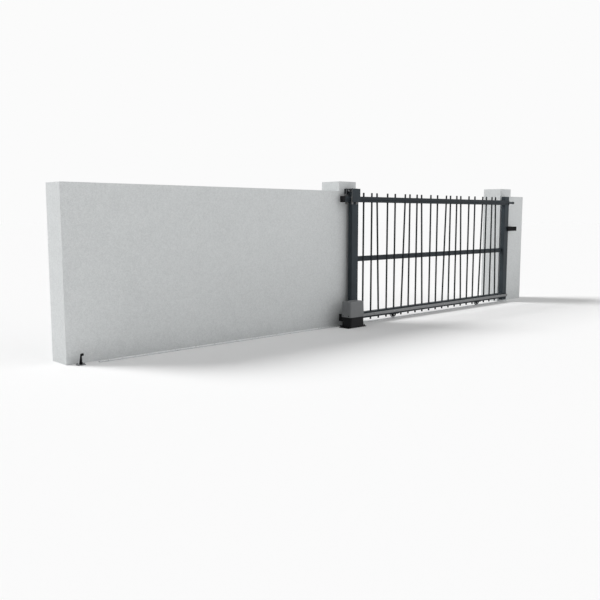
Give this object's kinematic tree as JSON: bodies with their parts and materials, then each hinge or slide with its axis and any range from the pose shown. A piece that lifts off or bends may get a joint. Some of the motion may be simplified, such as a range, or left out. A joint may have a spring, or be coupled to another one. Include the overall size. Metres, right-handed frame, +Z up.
{
  "type": "sliding driveway gate",
  "caption": "Sliding driveway gate of anthracite steel bars, some leaning, on a ground rail before a rendered wall and pillars, with roller guide, closing catch, open stop and rack drive.",
  "frame": {"origin": "left pillar's foot, on the middle line of the wall, on the ground", "axes": "+X along the wall towards the closing side, -Y the side with the leaf and the drive, +Z up"},
  "size_m": [9.552, 0.736, 2.14],
  "materials": {
    "render": "matt",
    "anthracite": "satin powder coat",
    "dark_steel": "matt black paint",
    "galvanised": "galvanised",
    "nylon": "satin",
    "black_rubber": "matt",
    "cover_plastic": "satin",
    "base_casting": "matt black"
  },
  "bodies": {
    "posts": {"boundary_wall": "render", "left_pillar": "render", "right_pillar": "render", "return_wall": "render", "ground_rail": "galvanised", "guide_wall_plate": "anthracite", "guide_top_plate": "anthracite", "guide_front_plate": "anthracite", "roller_pins": "galvanised", "closing_catch": "dark_steel", "stop_plate": "dark_steel", "stop_post": "dark_steel", "stop_buffer": "black_rubber", "drive_plate": "dark_steel", "drive_base": "base_casting", "drive_cover": "cover_plastic"},
    "leaf": {"top_rail": "anthracite", "mid_rail": "anthracite", "bottom_beam": "anthracite", "left_stile": "anthracite", "right_stile": "anthracite", "top_rail_caps": "black_rubber", "beam_caps": "black_rubber", "closing_pin": "anthracite", "pin_tip": "black_rubber", "upright_bars": "anthracite", "leaning_bars": "anthracite", "rear_carriage": "dark_steel", "front_carriage": "dark_steel", "rear_axle": "galvanised", "front_axle": "galvanised", "gear_rack": "galvanised", "rack_spacers": "galvanised"},
    "rear_wheel": {"rear_wheel": "galvanised"},
    "front_wheel": {"front_wheel": "galvanised"},
    "front_left_roller": {"guide_roller_front_left": "nylon"},
    "front_right_roller": {"guide_roller_front_right": "nylon"},
    "rear_left_roller": {"guide_roller_rear_left": "nylon"},
    "rear_right_roller": {"guide_roller_rear_right": "nylon"},
    "pinion": {"pinion": "galvanised", "drive_shaft": "galvanised"}
  },
  "joints": [
    {"name": "leaf_slide", "type": "slide", "parent": "posts", "child": "leaf", "axis": [-1, 0, 0], "range_m": [0, 4.12]},
    {"name": "rear_wheel_spin", "type": "hinge", "parent": "leaf", "child": "rear_wheel", "pos_m": [0.991, -0.262, 0.062], "axis": [0, -1, 0], "continuous": true},
    {"name": "front_wheel_spin", "type": "hinge", "parent": "leaf", "child": "front_wheel", "pos_m": [3.38, -0.262, 0.062], "axis": [0, -1, 0], "continuous": true},
    {"name": "front_left_roller_spin", "type": "hinge", "parent": "posts", "child": "front_left_roller", "pos_m": [-0.058, -0.3223, 1.862], "axis": [0, 0, 1], "continuous": true},
    {"name": "front_right_roller_spin", "type": "hinge", "parent": "posts", "child": "front_right_roller", "pos_m": [0.036, -0.3223, 1.862], "axis": [0, 0, 1], "continuous": true},
    {"name": "rear_left_roller_spin", "type": "hinge", "parent": "posts", "child": "rear_left_roller", "pos_m": [-0.058, -0.2017, 1.862], "axis": [0, 0, -1], "continuous": true},
    {"name": "rear_right_roller_spin", "type": "hinge", "parent": "posts", "child": "rear_right_roller", "pos_m": [0.036, -0.2017, 1.862], "axis": [0, 0, -1], "continuous": true},
    {"name": "pinion_spin", "type": "hinge", "parent": "posts", "child": "pinion", "pos_m": [-0.163, -0.323, 0.0754], "axis": [0, -1, 0], "continuous": true}
  ],
  "couplings": [
    {"joint": "rear_wheel_spin", "follows": "leaf_slide", "rad_per_m": 21.739},
    {"joint": "front_wheel_spin", "follows": "leaf_slide", "rad_per_m": 21.739},
    {"joint": "front_left_roller_spin", "follows": "leaf_slide", "rad_per_m": 66.667},
    {"joint": "front_right_roller_spin", "follows": "leaf_slide", "rad_per_m": 66.667},
    {"joint": "rear_left_roller_spin", "follows": "leaf_slide", "rad_per_m": 66.667},
    {"joint": "rear_right_roller_spin", "follows": "leaf_slide", "rad_per_m": 66.667},
    {"joint": "pinion_spin", "follows": "leaf_slide", "rad_per_m": 31.25}
  ]
}
